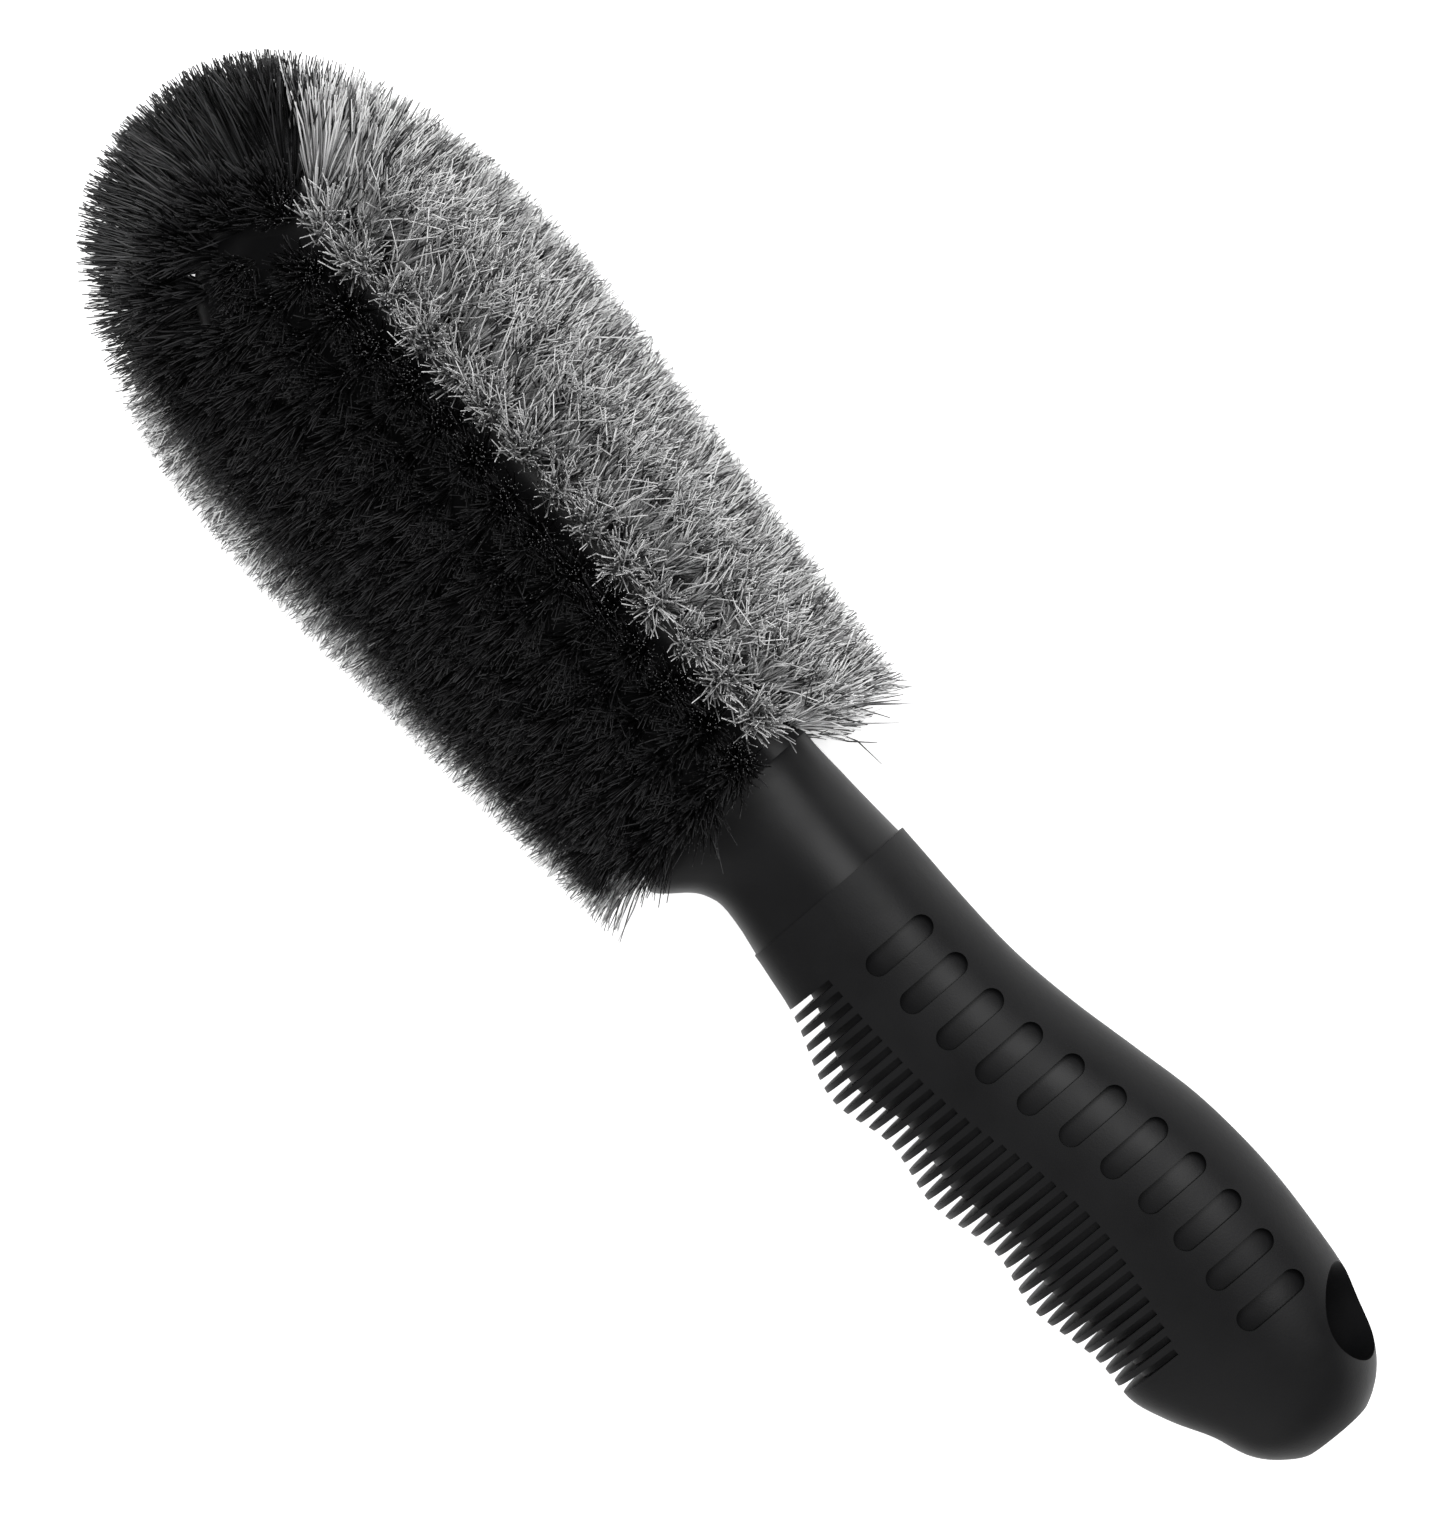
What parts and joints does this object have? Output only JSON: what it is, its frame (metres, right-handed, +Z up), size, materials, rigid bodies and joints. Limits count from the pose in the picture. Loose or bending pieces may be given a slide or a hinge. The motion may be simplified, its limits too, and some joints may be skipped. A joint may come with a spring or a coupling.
{
  "type": "wheel brush",
  "caption": "Hand brush for car wheels: ribbed soft-grip handle with a hang hole, and a paddle head bristled on both faces, both edges and the tip.",
  "frame": {"origin": "on the table, under the middle of the brush as it lies on one wide face of its bristles", "axes": "+X along the brush from the butt of the handle to the tip of the head, +Y to the finger side of the grip (-Y is its thumb side), +Z up out of the wide face"},
  "size_m": [0.2838, 0.0716, 0.048],
  "materials": {
    "hard_plastic": "fine satin moulding",
    "grip_rubber": "soft satin thermoplastic rubber",
    "black_bristle": "drawn synthetic filament",
    "grey_bristle": "drawn synthetic filament",
    "anchor_wire": "flattened wire"
  },
  "bodies": {
    "root": {"bottom_anchor_wires": "anchor_wire", "bottom_finger_black_tufts": "black_bristle", "bottom_finger_corner_black_tufts": "black_bristle", "bottom_middle_black_tufts": "black_bristle", "bottom_nose_black_tufts": "black_bristle", "bottom_thumb_black_tufts": "black_bristle", "bottom_thumb_corner_grey_tufts": "grey_bristle", "finger_anchor_wires": "anchor_wire", "finger_edge_lower_grey_tufts": "grey_bristle", "finger_edge_upper_grey_tufts": "grey_bristle", "grip_sleeve": "grip_rubber", "handle_core": "hard_plastic", "head_block": "hard_plastic", "heel_anchor_wires": "anchor_wire", "heel_black_tufts": "black_bristle", "nose_anchor_wires": "anchor_wire", "nose_edge_black_tufts": "black_bristle", "nose_edge_grey_tufts": "grey_bristle", "thumb_anchor_wires": "anchor_wire", "thumb_edge_lower_grey_tufts": "grey_bristle", "thumb_edge_upper_grey_tufts": "grey_bristle", "top_anchor_wires": "anchor_wire", "top_finger_black_tufts": "black_bristle", "top_finger_corner_black_tufts": "black_bristle", "top_middle_black_tufts": "black_bristle", "top_nose_black_tufts": "black_bristle", "top_thumb_black_tufts": "black_bristle", "top_thumb_corner_grey_tufts": "grey_bristle"}
  },
  "joints": []
}
